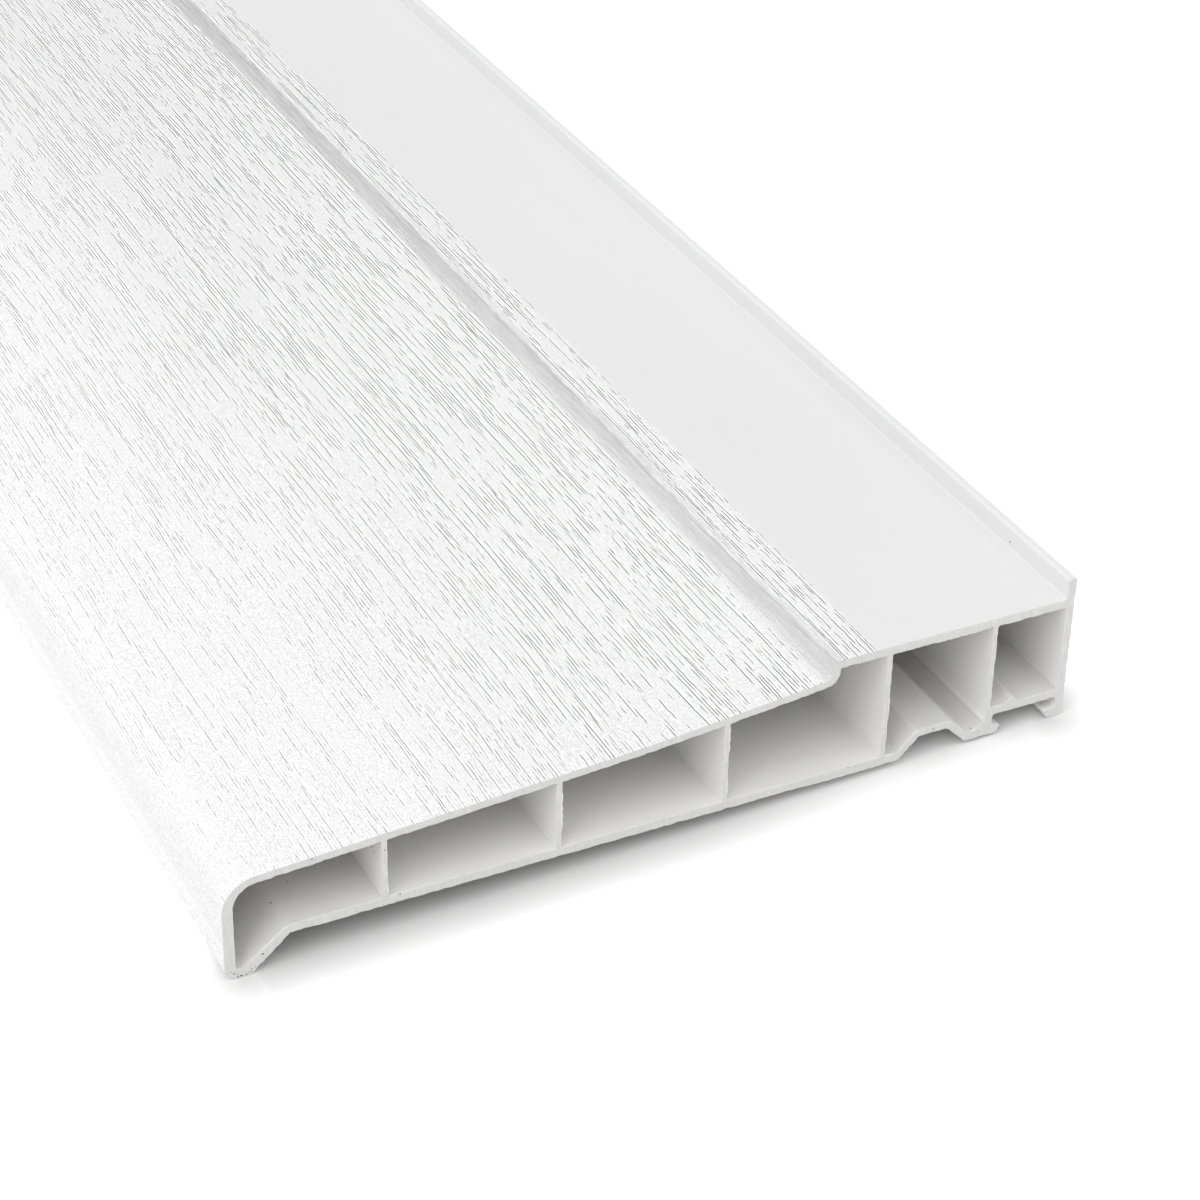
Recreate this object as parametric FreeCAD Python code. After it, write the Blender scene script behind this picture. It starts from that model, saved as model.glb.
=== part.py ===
"""Multi-chamber window sill board, one hollow extrusion.

The section is drawn level, in millimetres: Y runs back from the nose to the rear wall,
and Z is measured from the flat underside. It is then extruded along X, turned to the way
it lies on a floor, and moved so that its origin is the middle of the bottom of its box.
"""
import FreeCAD, Part
import math
import os

# Overall sizes
LENGTH = 1250.0
DEPTH = 225.0
SHELF_HEIGHT = 35.0
UPSTAND_RISE = 5.8
NOSE_HEIGHT = 18.3

# Sloped top and the step up to the shelf
STEP_RISE = 5.0
SHELF_WIDTH = 66.6
BREAK_BACK = 46.0
BREAK_DROP = 4.8
BREAK_RADIUS = 800.0
STEP_FOOT_RADIUS = 1.5
STEP_EDGE_RADIUS = 2.0
STEP_INNER_RADIUS = 4.0

# Walls
NOSE_WALL = 2.7
SLOPE_WALL = 2.1
SHELF_WALL = 2.4
BACK_WALL = 2.4
BASE_WALL = 2.5
HUMP_WALL = 2.1
WEB_WALL = 1.4

# Nose and drip
NOSE_RADIUS = 9.0
DRIP_DROP = 8.8
DRIP_HEEL = 6.4
DRIP_LEG_REACH = 9.8
DRIP_FRONT_RADIUS = 3.2
DRIP_HEEL_RADIUS = 0.7
DRIP_POCKET_WALL = 2.6
DRIP_POCKET_WIDTH = 1.7
POCKET_TOP_SETBACK = 0.7
LEG_TOP_RADIUS = 1.2

# Webs: the last two are set from the rear face, the others share the depth in front
FIRST_WEB = 39.7
FRONT_WEBS = 3
HUMP_WEB_BACK = 52.7
CLIP_WEB_BACK = 22.7

# Groove in the underside
GROOVE_BACK = 38.4
GROOVE_TOP = 8.1
GROOVE_MOUTH = 19.2
GROOVE_DEPTH = 5.6
GROOVE_RADIUS = 1.5

# Clip channel under the rear wall
CLIP_CEILING = 5.8
CLIP_CEILING_WALL = 2.4
CLIP_FRONT_WALL = 2.3
CLIP_REAR_RADIUS = 1.5
LIP_REACH_FRONT = 2.8
LIP_REACH_REAR = 3.6
LIP_HEIGHT = 2.6
LIP_TIP_HEIGHT = 2.1
LIP_BEVEL = 1.5

# Bead along the floor of the rear chamber
BEAD_BACK = 15.6
BEAD_WIDTH = 3.0
BEAD_HEIGHT = 1.5

# Edges
CORNER_RADIUS = 0.6
FOOT_RADIUS = 4.4
EDGE_RADIUS = 0.4
UPSTAND_RADIUS = 0.9

# Places that several functions share
STEP_Y = DEPTH - BACK_WALL - SHELF_WIDTH
STEP_Z = SHELF_HEIGHT - STEP_RISE
BREAK_Y = STEP_Y - BREAK_BACK
BREAK_Z = STEP_Z - BREAK_DROP
UPSTAND_Z = SHELF_HEIGHT + UPSTAND_RISE
BACK_Y = DEPTH - BACK_WALL
HUMP_WEB_Y = DEPTH - HUMP_WEB_BACK
CLIP_WEB_Y = DEPTH - CLIP_WEB_BACK
CLIP_WEB_FRONT = CLIP_WEB_Y - WEB_WALL / 2
GROOVE_Y = DEPTH - GROOVE_BACK
BEAD_Y = DEPTH - BEAD_BACK
LEG_TOP_Y = DRIP_HEEL + DRIP_LEG_REACH


def slope_z(y):
    """Height of the outer face of the slope: two straight flights that meet at the break."""
    if y < BREAK_Y:
        return NOSE_HEIGHT + (BREAK_Z - NOSE_HEIGHT) * y / BREAK_Y
    return BREAK_Z + BREAK_DROP * (y - BREAK_Y) / BREAK_BACK


def web_places():
    """Middle of each web: evenly spaced ones under the slope, then the two rear ones."""
    pitch = (HUMP_WEB_Y - FIRST_WEB) / FRONT_WEBS
    front = [FIRST_WEB + pitch * number for number in range(FRONT_WEBS)]
    return front + [HUMP_WEB_Y, CLIP_WEB_Y]


def corner(before, here, after, radius):
    """Tangent points, middle and centre of the arc that rounds one corner."""
    point = FreeCAD.Vector(0, here[0], here[1])
    back = (FreeCAD.Vector(0, before[0], before[1]) - point).normalize()
    ahead = (FreeCAD.Vector(0, after[0], after[1]) - point).normalize()
    half = back.getAngle(ahead) / 2
    reach = radius / math.tan(half)
    inward = (back + ahead).normalize()
    centre = point + inward * (radius / math.sin(half))
    return point + back * reach, centre - inward * radius, point + ahead * reach, centre


def rounded_face(points):
    """Flat face inside a closed outline of (y, z, radius); radius 0 keeps a corner sharp."""
    count = len(points)
    stops = []
    for number, (y, z, radius) in enumerate(points):
        if radius:
            stops.append(corner(points[number - 1], (y, z), points[(number + 1) % count], radius))
        else:
            point = FreeCAD.Vector(0, y, z)
            stops.append((point, None, point, None))
    edges = []
    for number, (start, middle, end, centre) in enumerate(stops):
        if middle is not None:
            edges.append(Part.Arc(start, middle, end).toShape())
        following = stops[(number + 1) % count][0]
        edges.append(Part.LineSegment(end, following).toShape())
    return Part.Face(Part.Wire(edges))


def drip_points():
    """Drip under the nose, from its heel round to the bottom of the front face."""
    return [
        (LEG_TOP_Y, 0, LEG_TOP_RADIUS),
        (DRIP_HEEL, -DRIP_DROP, DRIP_HEEL_RADIUS),
        (0, -DRIP_DROP, DRIP_FRONT_RADIUS),
    ]


def weather_points():
    """Face that sheds the rain: up the nose, along the slope and over the step."""
    return [
        (0, NOSE_HEIGHT, NOSE_RADIUS),
        (BREAK_Y, BREAK_Z, BREAK_RADIUS),
        (STEP_Y, STEP_Z, STEP_FOOT_RADIUS),
        (STEP_Y, SHELF_HEIGHT, STEP_EDGE_RADIUS),
    ]


def upstand_points():
    """Rear of the shelf, the upstand behind the window frame and the rear wall."""
    return [
        (BACK_Y, SHELF_HEIGHT, CORNER_RADIUS),
        (BACK_Y, UPSTAND_Z, UPSTAND_RADIUS),
        (DEPTH, UPSTAND_Z, EDGE_RADIUS),
        (DEPTH, 0, EDGE_RADIUS),
    ]


def clip_points():
    """Channel open downward between two lips with bevelled tips, from rear to front."""
    wall = CLIP_WEB_FRONT + CLIP_FRONT_WALL
    rear_tip = BACK_Y - LIP_REACH_REAR
    front_tip = wall + LIP_REACH_FRONT
    return [
        (rear_tip + LIP_BEVEL, 0, EDGE_RADIUS),
        (rear_tip, LIP_HEIGHT, EDGE_RADIUS),
        (BACK_Y, LIP_HEIGHT, CLIP_REAR_RADIUS),
        (BACK_Y, CLIP_CEILING, CORNER_RADIUS),
        (wall, CLIP_CEILING, CORNER_RADIUS),
        (wall, LIP_HEIGHT, EDGE_RADIUS),
        (front_tip, LIP_TIP_HEIGHT, EDGE_RADIUS),
        (front_tip - LIP_BEVEL, 0, EDGE_RADIUS),
    ]


def groove_points():
    """Trapezoid groove in the underside, from rear to front."""
    return [
        (GROOVE_Y + GROOVE_MOUTH / 2, 0, GROOVE_RADIUS),
        (GROOVE_Y + GROOVE_TOP / 2, GROOVE_DEPTH, GROOVE_RADIUS),
        (GROOVE_Y - GROOVE_TOP / 2, GROOVE_DEPTH, GROOVE_RADIUS),
        (GROOVE_Y - GROOVE_MOUTH / 2, 0, GROOVE_RADIUS),
    ]


def outline():
    """Outer outline of the section, once round from the drip over the top to the underside."""
    points = drip_points() + weather_points() + upstand_points()
    return rounded_face(points + clip_points() + groove_points())


def roof_points():
    """Underside of the top wall: behind the nose, along the slope and up under the shelf."""
    riser = STEP_Y + SHELF_WALL
    roof = SHELF_HEIGHT - SHELF_WALL
    return [
        (NOSE_WALL, slope_z(NOSE_WALL) - SLOPE_WALL, NOSE_RADIUS - NOSE_WALL),
        (BREAK_Y, BREAK_Z - SLOPE_WALL, BREAK_RADIUS),
        (riser, slope_z(riser) - SLOPE_WALL, STEP_INNER_RADIUS),
        (riser, roof, 0),
        (BACK_Y, roof, 0),
    ]


def clip_floor_points():
    """Floor over the clip channel, with its bead, from the rear wall to the last web."""
    floor = CLIP_CEILING + CLIP_CEILING_WALL
    return [
        (BACK_Y, floor, 0),
        (BEAD_Y + BEAD_WIDTH / 2, floor, 0),
        (BEAD_Y, floor + BEAD_HEIGHT, EDGE_RADIUS),
        (BEAD_Y - BEAD_WIDTH / 2, floor, 0),
        (CLIP_WEB_FRONT, floor, 0),
        (CLIP_WEB_FRONT, BASE_WALL, FOOT_RADIUS),
    ]


def hump_points():
    """Floor over the groove, one wall away from it all round, from rear to front."""
    flank = math.atan2(GROOVE_DEPTH, (GROOVE_MOUTH - GROOVE_TOP) / 2)
    half_top = GROOVE_TOP / 2 + HUMP_WALL * math.tan(flank / 2)
    top = GROOVE_DEPTH + HUMP_WALL
    half_foot = half_top + (top - BASE_WALL) / math.tan(flank)
    return [
        (GROOVE_Y + half_foot, BASE_WALL, CORNER_RADIUS),
        (GROOVE_Y + half_top, top, GROOVE_RADIUS),
        (GROOVE_Y - half_top, top, GROOVE_RADIUS),
        (GROOVE_Y - half_foot, BASE_WALL, CORNER_RADIUS),
    ]


def pocket_points():
    """Floor at the front, where the hollow runs down into the drip."""
    bottom = DRIP_POCKET_WALL - DRIP_DROP
    return [
        (LEG_TOP_Y - POCKET_TOP_SETBACK, BASE_WALL, LEG_TOP_RADIUS),
        (NOSE_WALL + DRIP_POCKET_WIDTH, bottom, 0),
        (NOSE_WALL, bottom, 0),
    ]


def webs():
    """Upright strips that divide the hollow, from below the drip to above the upstand."""
    strips = []
    for place in web_places():
        corners = [
            FreeCAD.Vector(0, place - WEB_WALL / 2, -DRIP_DROP),
            FreeCAD.Vector(0, place + WEB_WALL / 2, -DRIP_DROP),
            FreeCAD.Vector(0, place + WEB_WALL / 2, UPSTAND_Z),
            FreeCAD.Vector(0, place - WEB_WALL / 2, UPSTAND_Z),
        ]
        strips.append(Part.Face(Part.makePolygon(corners + corners[:1])))
    return Part.makeCompound(strips)


def chambers():
    """The hollow divided by the webs, each chamber with its sharp inner corners rounded.

    A face shrunk by a radius and grown again by it has that radius in every corner
    that points outward, and is otherwise as it was.
    """
    points = roof_points() + clip_floor_points() + hump_points() + pocket_points()
    hollow = rounded_face(points).cut(webs())
    faces = []
    for face in hollow.Faces:
        shrunk = face.makeOffset2D(-CORNER_RADIUS)
        faces.append(shrunk.makeOffset2D(CORNER_RADIUS))
    return Part.makeCompound(faces)


def rest_angle():
    """Tilt that brings the heel of the drip and the rear bottom edge down together.

    Both are round, so the floor is the line that touches both arcs from below.
    """
    leg, heel_point, front = drip_points()
    heel = corner(leg, heel_point, front, DRIP_HEEL_RADIUS)[3]
    rear = corner((DEPTH, UPSTAND_Z), (DEPTH, 0), (BACK_Y, 0), EDGE_RADIUS)[3]
    span = rear - heel
    rise = math.atan2(span.z, span.y)
    return math.degrees(rise - math.asin((EDGE_RADIUS - DRIP_HEEL_RADIUS) / span.Length))


def lie_down(board):
    """Turn the level board about its length onto the floor, with its origin under its middle."""
    angle = rest_angle()
    board.rotate(FreeCAD.Vector(0, 0, 0), FreeCAD.Vector(1, 0, 0), -angle)
    box = board.BoundBox
    home = FreeCAD.Vector(-box.Center.x, -box.Center.y, -box.ZMin)
    board.translate(home)
    print("tilt", round(angle, 4), "degrees, moved by", round(home.y, 4), round(home.z, 4))
    return board


def sill_board():
    """The whole board: outline less its chambers, run along the length."""
    section = outline().cut(chambers())
    board = section.Faces[0].extrude(FreeCAD.Vector(LENGTH, 0, 0))
    return lie_down(board)


def main():
    board = sill_board()
    box = board.BoundBox
    os.makedirs("parts", exist_ok=True)
    board.exportStep("parts/sill_board.step")
    print("sill_board", len(board.Solids), "solid,", round(board.Volume / 1000, 1), "cm3")
    print("box", round(box.XLength, 3), round(box.YLength, 3), round(box.ZLength, 3))


main()
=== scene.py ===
# %% [markdown]
# # A window sill board, made as a lesson in cells
#
# The object is one length of hollow white plastic extrusion, sawn at both ends. Its top has an
# embossed woodgrain film that runs from the nose over the slope, up a small step and onto the
# seat. The CAD model holds the section and the size. This script dresses it: a finer body with
# the same section, the woodgrain as real relief, the marks of the saw, and the finishes.
#
# Sizes below are in millimetres, as on the drawing of the section, and `MM` turns them into
# metres when a mesh is made.

# %% Load the frame
import math

import bpy
import numpy as np
from mathutils.geometry import tessellate_polygon
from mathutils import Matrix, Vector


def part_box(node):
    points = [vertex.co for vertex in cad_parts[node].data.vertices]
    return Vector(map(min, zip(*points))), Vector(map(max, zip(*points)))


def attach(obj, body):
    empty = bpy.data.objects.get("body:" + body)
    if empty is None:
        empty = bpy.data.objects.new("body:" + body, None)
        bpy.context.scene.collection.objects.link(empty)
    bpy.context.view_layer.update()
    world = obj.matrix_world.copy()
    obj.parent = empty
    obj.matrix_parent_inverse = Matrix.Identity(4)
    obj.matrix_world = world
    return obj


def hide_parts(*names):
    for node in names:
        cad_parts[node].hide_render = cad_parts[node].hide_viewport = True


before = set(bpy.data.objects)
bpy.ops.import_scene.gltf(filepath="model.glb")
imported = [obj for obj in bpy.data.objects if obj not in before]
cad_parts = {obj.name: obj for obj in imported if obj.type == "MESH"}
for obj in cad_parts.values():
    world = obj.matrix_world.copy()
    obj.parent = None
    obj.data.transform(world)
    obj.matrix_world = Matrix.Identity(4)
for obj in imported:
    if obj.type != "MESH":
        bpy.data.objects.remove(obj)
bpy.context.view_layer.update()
MM = 0.001
rng = np.random.default_rng(1181)
board_low, board_high = [np.array(corner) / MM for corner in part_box("sill_board")]
LENGTH = board_high[0] - board_low[0]
print("board box, mm:", board_low.round(2), board_high.round(2))

# %% [markdown]
# ## The section
#
# The section is drawn level: y runs back from the nose, z up from the flat underside. Each
# outline is a short list of corners with a radius each. These sizes are the CAD model's own,
# so the body made from them lies where the CAD solid lies. Only the corners inside the chambers
# are crisper here, as the die leaves them, and the one at the top of the drip is softer.

# %% Sizes of the section
DEPTH = 225.0
SHELF_HEIGHT = 35.0
UPSTAND_RISE = 5.8
NOSE_HEIGHT = 18.3
STEP_RISE = 5.0
SHELF_WIDTH = 66.6
BREAK_BACK = 46.0
BREAK_DROP = 4.8
BREAK_RADIUS = 800.0
NOSE_WALL = 2.7
SLOPE_WALL = 2.1
SHELF_WALL = 2.4
BACK_WALL = 2.4
BASE_WALL = 2.5
HUMP_WALL = 2.1
WEB_WALL = 1.4
NOSE_RADIUS = 9.0
DRIP_DROP = 8.8
DRIP_HEEL = 6.4
LEG_TOP_Y = 16.2
CORNER = 0.6
INNER_CORNER = 0.3
POCKET_CORNER = 5.0
EDGE = 0.4
GROOVE_Y = DEPTH - 38.4
GROOVE_DEPTH = 5.6
GROOVE_MOUTH = 19.2
GROOVE_TOP = 8.1

STEP_Y = DEPTH - BACK_WALL - SHELF_WIDTH
STEP_Z = SHELF_HEIGHT - STEP_RISE
BREAK_Y = STEP_Y - BREAK_BACK
BREAK_Z = STEP_Z - BREAK_DROP
UPSTAND_Z = SHELF_HEIGHT + UPSTAND_RISE
BACK_Y = DEPTH - BACK_WALL
ROOF_Z = SHELF_HEIGHT - SHELF_WALL
RISER_Y = STEP_Y + SHELF_WALL
WEB_Y = [39.7, 83.9, 128.1, 172.3, 202.3]


def slope_z(y):
    """Height of the slope's outer face: two straight flights that meet at the break."""
    if y < BREAK_Y:
        return NOSE_HEIGHT + (BREAK_Z - NOSE_HEIGHT) * y / BREAK_Y
    return BREAK_Z + BREAK_DROP * (y - BREAK_Y) / BREAK_BACK


# %% Round the corners of an outline
def rounded(corners, closed=True, sag=0.004):
    """Points along an outline and the direction of travel at each.

    A corner is cut back by radius times the tangent of half its turn. The direction then
    turns evenly along the arc, and each point lies one radius from the arc's centre. The
    steps are short enough that no chord is further than sag from its arc.
    """
    corners = np.array(corners, float)
    count = len(corners)
    places, headings = [], []
    for number, (y, z, radius) in enumerate(corners):
        here = np.array([y, z])
        before = here - corners[number - 1, :2]
        after = corners[(number + 1) % count, :2] - here
        heading = math.atan2(before[1], before[0])
        turn = math.remainder(math.atan2(after[1], after[0]) - heading, math.tau)
        if not closed and number in (0, count - 1):
            places.append(here[None])
            headings.append(np.array([heading + turn if number == 0 else heading]))
            continue
        start = here - before / np.hypot(*before) * radius * math.tan(abs(turn) / 2)
        steps = max(2, math.ceil(abs(turn) / (2 * math.acos(1 - sag / max(radius, 2 * sag)))))
        angles = heading + turn * np.linspace(0, 1, steps + 1)
        left = np.stack([-np.sin(angles), np.cos(angles)], 1)
        centre = start + math.copysign(radius, turn) * left[0]
        places.append(centre - math.copysign(radius, turn) * left)
        headings.append(angles)
    return np.concatenate(places), np.concatenate(headings)


def outward(headings):
    """Unit normals on the left of the direction of travel, which is out of the plastic.

    The outer outline runs clockwise, seen from the near end, and the chambers run the other way.
    """
    return np.stack([-np.sin(headings), np.cos(headings)], 1)


# %% The outer outline, in two runs
FILM_START_Z = 1.0
FILM_END_Y = 168.7

weather_corners = [
    (0, FILM_START_Z, 0),
    (0, NOSE_HEIGHT, NOSE_RADIUS),
    (BREAK_Y, BREAK_Z, BREAK_RADIUS),
    (STEP_Y, STEP_Z, 1.5),
    (STEP_Y, SHELF_HEIGHT, 2.0),
    (FILM_END_Y, SHELF_HEIGHT, 0),
]
clip_wall = WEB_Y[4] - WEB_WALL / 2 + 2.3
rear_tip = BACK_Y - 3.6
front_tip = clip_wall + 2.8
plain_corners = [
    (FILM_END_Y, SHELF_HEIGHT, 0),
    (BACK_Y, SHELF_HEIGHT, CORNER),
    (BACK_Y, UPSTAND_Z, 0.9),
    (DEPTH, UPSTAND_Z, EDGE),
    (DEPTH, 0, EDGE),
    (rear_tip + 1.5, 0, EDGE),
    (rear_tip, 2.6, EDGE),
    (BACK_Y, 2.6, 1.5),
    (BACK_Y, 5.8, CORNER),
    (clip_wall, 5.8, CORNER),
    (clip_wall, 2.6, EDGE),
    (front_tip, 2.1, EDGE),
    (front_tip - 1.5, 0, EDGE),
    (GROOVE_Y + GROOVE_MOUTH / 2, 0, 1.5),
    (GROOVE_Y + GROOVE_TOP / 2, GROOVE_DEPTH, 1.5),
    (GROOVE_Y - GROOVE_TOP / 2, GROOVE_DEPTH, 1.5),
    (GROOVE_Y - GROOVE_MOUTH / 2, 0, 1.5),
    (LEG_TOP_Y, 0, 1.2),
    (DRIP_HEEL, -DRIP_DROP, 0.7),
    (0, -DRIP_DROP, 3.2),
    (0, FILM_START_Z, 0),
]
weather_run, weather_heading = rounded(weather_corners, closed=False)
plain_run, plain_heading = rounded(plain_corners, closed=False)
print("outline points:", len(weather_run), "under the film,", len(plain_run), "elsewhere")

# %% The six chambers
flank = math.atan2(GROOVE_DEPTH, (GROOVE_MOUTH - GROOVE_TOP) / 2)
hump_half = GROOVE_TOP / 2 + HUMP_WALL * math.tan(flank / 2)
hump_z = GROOVE_DEPTH + HUMP_WALL
hump_foot = hump_half + (hump_z - BASE_WALL) / math.tan(flank)
clip_floor = 5.8 + 2.4
bead_y = DEPTH - 15.6


def roof_z(y):
    """Height of the inner face under the slope."""
    return slope_z(y) - SLOPE_WALL


def front_face(web):
    """Level place of the front face of a web, counted from 1."""
    return WEB_Y[web - 1] - WEB_WALL / 2


def rear_face(web):
    """Level place of the rear face of a web, counted from 1."""
    return WEB_Y[web - 1] + WEB_WALL / 2


chamber_corners = [
    [
        (NOSE_WALL, roof_z(NOSE_WALL), NOSE_RADIUS - NOSE_WALL),
        (NOSE_WALL, 2.6 - DRIP_DROP, INNER_CORNER),
        (NOSE_WALL + 1.7, 2.6 - DRIP_DROP, INNER_CORNER),
        (LEG_TOP_Y - 0.7, BASE_WALL, POCKET_CORNER),
        (front_face(1), BASE_WALL, INNER_CORNER),
        (front_face(1), roof_z(front_face(1)), INNER_CORNER),
    ],
    [
        (rear_face(1), roof_z(rear_face(1)), INNER_CORNER),
        (rear_face(1), BASE_WALL, INNER_CORNER),
        (front_face(2), BASE_WALL, INNER_CORNER),
        (front_face(2), roof_z(front_face(2)), INNER_CORNER),
    ],
    [
        (rear_face(2), roof_z(rear_face(2)), INNER_CORNER),
        (rear_face(2), BASE_WALL, INNER_CORNER),
        (front_face(3), BASE_WALL, INNER_CORNER),
        (front_face(3), roof_z(front_face(3)), INNER_CORNER),
        (BREAK_Y, roof_z(BREAK_Y), BREAK_RADIUS),
    ],
    [
        (rear_face(3), roof_z(rear_face(3)), INNER_CORNER),
        (rear_face(3), BASE_WALL, INNER_CORNER),
        (front_face(4), BASE_WALL, INNER_CORNER),
        (front_face(4), ROOF_Z, INNER_CORNER),
        (RISER_Y, ROOF_Z, INNER_CORNER),
        (RISER_Y, roof_z(RISER_Y), 4.0),
    ],
    [
        (rear_face(4), ROOF_Z, INNER_CORNER),
        (rear_face(4), BASE_WALL, INNER_CORNER),
        (GROOVE_Y - hump_foot, BASE_WALL, INNER_CORNER),
        (GROOVE_Y - hump_half, hump_z, 1.5),
        (GROOVE_Y + hump_half, hump_z, 1.5),
        (GROOVE_Y + hump_foot, BASE_WALL, INNER_CORNER),
        (front_face(5), BASE_WALL, 4.4),
        (front_face(5), ROOF_Z, INNER_CORNER),
    ],
    [
        (rear_face(5), ROOF_Z, INNER_CORNER),
        (rear_face(5), clip_floor, INNER_CORNER),
        (bead_y - 2.2, clip_floor, INNER_CORNER),
        (bead_y, clip_floor + 1.9, INNER_CORNER),
        (bead_y + 1.7, clip_floor, INNER_CORNER),
        (BACK_Y, clip_floor, INNER_CORNER),
        (BACK_Y, ROOF_Z, INNER_CORNER),
    ],
]
chamber_runs = [rounded(corners) for corners in chamber_corners]
print("chamber outlines:", [len(run) for run, heading in chamber_runs], "points")

# %% [markdown]
# ## From the level section to the floor
#
# The board lies on the heel of its drip and on its rear bottom edge, so it is tilted a little.
# The tilt is worked out once from the two arcs that touch the floor, and the move that follows
# comes from the CAD node's box.

# %% Lay a level point on the floor
heel_corner = np.array([DRIP_HEEL, -DRIP_DROP])
leg = np.array([LEG_TOP_Y, 0]) - heel_corner
heel_half = math.atan2(leg[1], leg[0])
heel_half = (math.pi - heel_half) / 2
to_leg = leg / np.hypot(*leg)
inward = to_leg + np.array([-1.0, 0.0])
heel_centre = heel_corner + inward / np.hypot(*inward) * 0.7 / math.sin(heel_half)
rear_centre = np.array([DEPTH - EDGE, EDGE])
span = rear_centre - heel_centre
TILT = math.atan2(span[1], span[0]) - math.asin((EDGE - 0.7) / np.hypot(*span))
print("tilt:", round(math.degrees(TILT), 4), "degrees")


def turned(points):
    """Level points turned about the length by the tilt."""
    y, z = points[..., 0], points[..., 1]
    cos, sin = math.cos(TILT), math.sin(TILT)
    return np.stack([y * cos + z * sin, -y * sin + z * cos], -1)


every_point = turned(np.concatenate([weather_run, plain_run]))
HOME = np.array([board_low[1], board_low[2]]) - every_point.min(0)
print("moved by:", HOME.round(3), "mm; highest point", (every_point.max(0) + HOME).round(3))


def laid(points, x):
    """Level points of the section at a place x along the length, as metres in the frame."""
    placed = turned(points) + HOME
    x = np.broadcast_to(x, placed.shape[:-1])
    return np.concatenate([x[..., None], placed], -1) * MM


# %% [markdown]
# ## Putting arrays into a mesh
#
# Every piece below is worked out as whole arrays: points first, then faces that name the
# points. One helper hands them to Blender in bulk.

# %% Make a mesh piece from arrays
def make_piece(name, points, faces, materials, face_material=None):
    """A mesh object from an array of points and a list of arrays of faces of equal length."""
    mesh = bpy.data.meshes.new(name)
    corners = np.concatenate([part.ravel() for part in faces])
    lengths = np.concatenate([np.full(len(part), part.shape[1]) for part in faces])
    starts = np.concatenate([[0], np.cumsum(lengths)[:-1]])
    mesh.vertices.add(len(points))
    mesh.vertices.foreach_set("co", points.astype(np.float32).ravel())
    mesh.loops.add(len(corners))
    mesh.loops.foreach_set("vertex_index", corners.astype(np.int32))
    mesh.polygons.add(len(lengths))
    mesh.polygons.foreach_set("loop_start", starts.astype(np.int32))
    for material in materials:
        mesh.materials.append(material)
    if face_material is not None:
        mesh.polygons.foreach_set("material_index", face_material.astype(np.int32))
    mesh.update(calc_edges=True)
    mesh.validate()
    piece = bpy.data.objects.new(name, mesh)
    bpy.context.scene.collection.objects.link(piece)
    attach(piece, "root")
    triangles = int((lengths - 2).sum())
    print(name, len(points), "points,", triangles, "triangles")
    return piece


def strip_faces(rows, columns, first=0, closed=False):
    """Four-sided faces of a grid of points stored row by row; a closed grid joins its sides."""
    last = columns if closed else columns - 1
    row, column = np.meshgrid(np.arange(rows - 1), np.arange(last), indexing="ij")
    after = (column + 1) % columns
    a = first + row * columns + column
    b = first + row * columns + after
    return np.stack([a, a + columns, b + columns, b], -1).reshape(-1, 4)


# %% [markdown]
# ## Finishes
#
# All of it is the same white plastic, seen in three states: as it came out of the die, as the
# saw left it, and under the embossed film. The finishes are made of noise on the object's own
# coordinates and of values stored on the points, so they stay put from every side.

# %% Short ways to build a node tree
def new_finish(name, colour, roughness):
    """A material with its shader's own colour and roughness set; returns it and its shader."""
    material = bpy.data.materials.new(name)
    material.use_nodes = True
    shader = material.node_tree.nodes["Principled BSDF"]
    shader.inputs["Base Color"].default_value = (*colour, 1)
    shader.inputs["Roughness"].default_value = roughness
    shader.inputs["IOR"].default_value = 1.53
    return material, shader


def add_node(tree, kind, values=None, **settings):
    """A node of a kind, with its settings; a value is a number or another node's output."""
    node = tree.nodes.new(kind)
    for key, value in settings.items():
        setattr(node, key, value)
    for key, value in (values or {}).items():
        if isinstance(value, bpy.types.NodeSocket):
            tree.links.new(value, node.inputs[key])
        else:
            node.inputs[key].default_value = value
    return node


def noise_on(tree, stretch, scale, detail=2.0):
    """Noise on object coordinates, stretched per axis, as the output of a noise node."""
    place = add_node(tree, "ShaderNodeTexCoord")
    mapping = add_node(tree, "ShaderNodeMapping", {"Vector": place.outputs["Object"], "Scale": stretch})
    return add_node(
        tree, "ShaderNodeTexNoise", {"Vector": mapping.outputs[0], "Scale": scale, "Detail": detail}
    ).outputs["Fac"]


def between(tree, value, low, high, to_low, to_high):
    """A value moved from one range to another and held inside it."""
    values = {"Value": value, "From Min": low, "From Max": high, "To Min": to_low, "To Max": to_high}
    return add_node(tree, "ShaderNodeMapRange", values).outputs["Result"]


def blend_colours(tree, share, first, second):
    """Colour between two by a share; each is a colour or another node's output."""
    node = add_node(tree, "ShaderNodeMix", data_type="RGBA")
    for socket, value in ((node.inputs[0], share), (node.inputs[6], first), (node.inputs[7], second)):
        if isinstance(value, bpy.types.NodeSocket):
            tree.links.new(value, socket)
        else:
            socket.default_value = value
    return node.outputs[2]


def add_bump(tree, shader, height, distance, strength=1.0):
    """Fine relief on a shader from a height."""
    values = {"Height": height, "Distance": distance, "Strength": strength}
    bump = add_node(tree, "ShaderNodeBump", values)
    tree.links.new(bump.outputs["Normal"], shader.inputs["Normal"])


# %% Plastic as it left the die
SEAT_WHITE = (0.765, 0.765, 0.765)


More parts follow.
